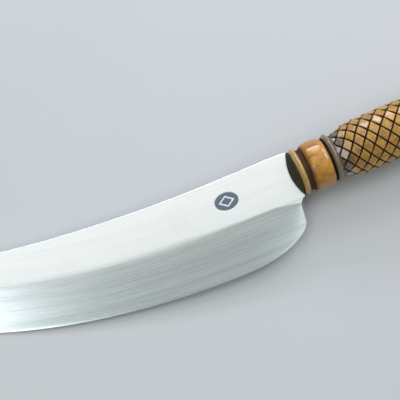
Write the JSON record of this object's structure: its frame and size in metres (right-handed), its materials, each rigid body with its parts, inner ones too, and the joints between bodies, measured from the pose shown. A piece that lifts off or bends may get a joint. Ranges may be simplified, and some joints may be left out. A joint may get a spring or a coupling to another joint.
{
  "type": "fixed-blade knife",
  "caption": "Large upswept single-edged woodcarving knife with a heel, and a turned, chequered wooden handle on a hidden tang.",
  "frame": {"origin": "on the handle's axis, where the blade's shoulders meet the handle, in the blade's mid-plane", "axes": "+X along the handle to the butt, so the tip is at -X; +Y to the spine, so the edge faces -Y; +Z out of the marked side of the blade"},
  "size_m": [0.369, 0.086, 0.0294],
  "materials": {
    "blade_steel": "satin, brushed along the blade, with finer bright flats",
    "handle_wood": "amber wood, scorched dark in the coves and grooves, under a gloss varnish",
    "bedding_resin": "hard dark filler, cast in place"
  },
  "bodies": {
    "root": {"blade": "blade_steel", "handle": "handle_wood", "tang_bedding": "bedding_resin"}
  },
  "joints": []
}
